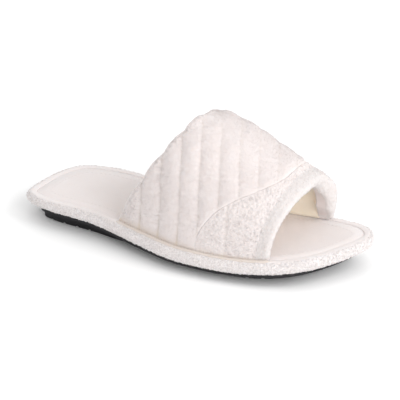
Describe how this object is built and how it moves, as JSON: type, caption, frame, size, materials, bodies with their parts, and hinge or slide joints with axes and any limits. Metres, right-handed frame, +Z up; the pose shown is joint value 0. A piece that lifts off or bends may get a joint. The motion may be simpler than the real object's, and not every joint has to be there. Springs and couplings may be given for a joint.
{
  "type": "scuff slipper",
  "caption": "Open-toe backless scuff slipper: quilted fleece upper with a curly toe panel and a plush binding, on a padded footbed wrapped in terry over a rubber outsole.",
  "frame": {"origin": "centre of the bounding box's bottom face, on the floor under the slipper", "axes": "+X from heel to toe, +Y towards the inner (medial) side, +Z up from the floor"},
  "size_m": [0.252, 0.1056, 0.1025],
  "materials": {
    "charcoal_rubber": "matte",
    "ivory_terry": "terry loops",
    "footbed_fleece": "short nap",
    "ivory_fleece": "brushed nap",
    "curly_fleece": "curly pile",
    "plush_binding": "plush"
  },
  "bodies": {
    "root": {"outsole": "charcoal_rubber", "rim_wrap": "ivory_terry", "footbed": "footbed_fleece", "upper": "ivory_fleece", "toe_panel": "curly_fleece", "toe_binding": "plush_binding"}
  },
  "joints": []
}
